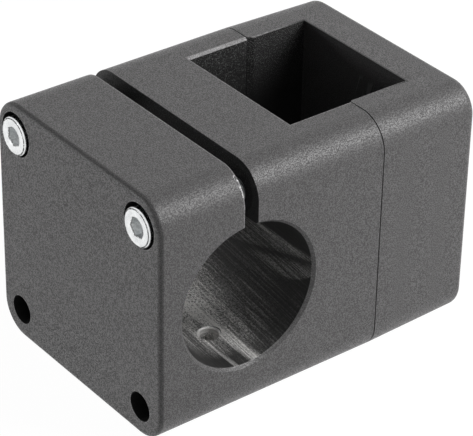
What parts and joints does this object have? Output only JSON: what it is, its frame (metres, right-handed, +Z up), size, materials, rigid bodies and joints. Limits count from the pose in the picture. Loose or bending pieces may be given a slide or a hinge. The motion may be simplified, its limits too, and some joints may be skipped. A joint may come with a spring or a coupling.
{
  "type": "tube clamp",
  "caption": "Block clamp joining a round tube and a square tube at right angles: slotted round bore, bolted end cap over a square socket.",
  "frame": {"origin": "middle of the base, under the centre of the bounding box", "axes": "+X from the face with the clamp screws towards the end cap, +Y along the round bore, +Z up along the square socket"},
  "size_m": [0.126, 0.087, 0.087],
  "materials": {
    "coat": "fine textured matt powder coat, anthracite",
    "zinc": "bright zinc plate"
  },
  "bodies": {
    "main_body": {"main_body": "coat"},
    "end_cap": {"end_cap": "coat"},
    "clamp_screw_front": {"clamp_screw_front": "zinc"},
    "clamp_screw_back": {"clamp_screw_back": "zinc"},
    "cap_screw_top_front": {"cap_screw_top_front": "zinc"},
    "cap_screw_top_back": {"cap_screw_top_back": "zinc"},
    "cap_screw_bottom_front": {"cap_screw_bottom_front": "zinc"},
    "cap_screw_bottom_back": {"cap_screw_bottom_back": "zinc"}
  },
  "joints": [
    {"name": "clamp_screw_front_turn", "type": "hinge", "parent": "main_body", "child": "clamp_screw_front", "pos_m": [-0.063, -0.033, 0.076], "axis": [-1, 0, 0], "range_deg": [-180, 360]},
    {"name": "clamp_screw_back_turn", "type": "hinge", "parent": "main_body", "child": "clamp_screw_back", "pos_m": [-0.063, 0.033, 0.076], "axis": [-1, 0, 0], "range_deg": [-180, 360]},
    {"name": "end_cap_slide", "type": "slide", "parent": "main_body", "child": "end_cap", "axis": [1, 0, 0], "range_m": [0, 0.0175]},
    {"name": "cap_screw_top_front_turn", "type": "hinge", "parent": "end_cap", "child": "cap_screw_top_front", "pos_m": [0.063, -0.033, 0.076], "axis": [1, 0, 0], "range_deg": [0, 5040]},
    {"name": "cap_screw_top_back_turn", "type": "hinge", "parent": "end_cap", "child": "cap_screw_top_back", "pos_m": [0.063, 0.033, 0.076], "axis": [1, 0, 0], "range_deg": [0, 5040]},
    {"name": "cap_screw_bottom_front_turn", "type": "hinge", "parent": "end_cap", "child": "cap_screw_bottom_front", "pos_m": [0.063, -0.033, 0.0105], "axis": [1, 0, 0], "range_deg": [0, 5040]},
    {"name": "cap_screw_bottom_back_turn", "type": "hinge", "parent": "end_cap", "child": "cap_screw_bottom_back", "pos_m": [0.063, 0.033, 0.0105], "axis": [1, 0, 0], "range_deg": [0, 5040]}
  ],
  "couplings": [
    {"joint": "cap_screw_top_front_turn", "follows": "end_cap_slide", "rad_per_m": 5026.5},
    {"joint": "cap_screw_top_back_turn", "follows": "end_cap_slide", "rad_per_m": 5026.5},
    {"joint": "cap_screw_bottom_front_turn", "follows": "end_cap_slide", "rad_per_m": 5026.5},
    {"joint": "cap_screw_bottom_back_turn", "follows": "end_cap_slide", "rad_per_m": 5026.5}
  ]
}
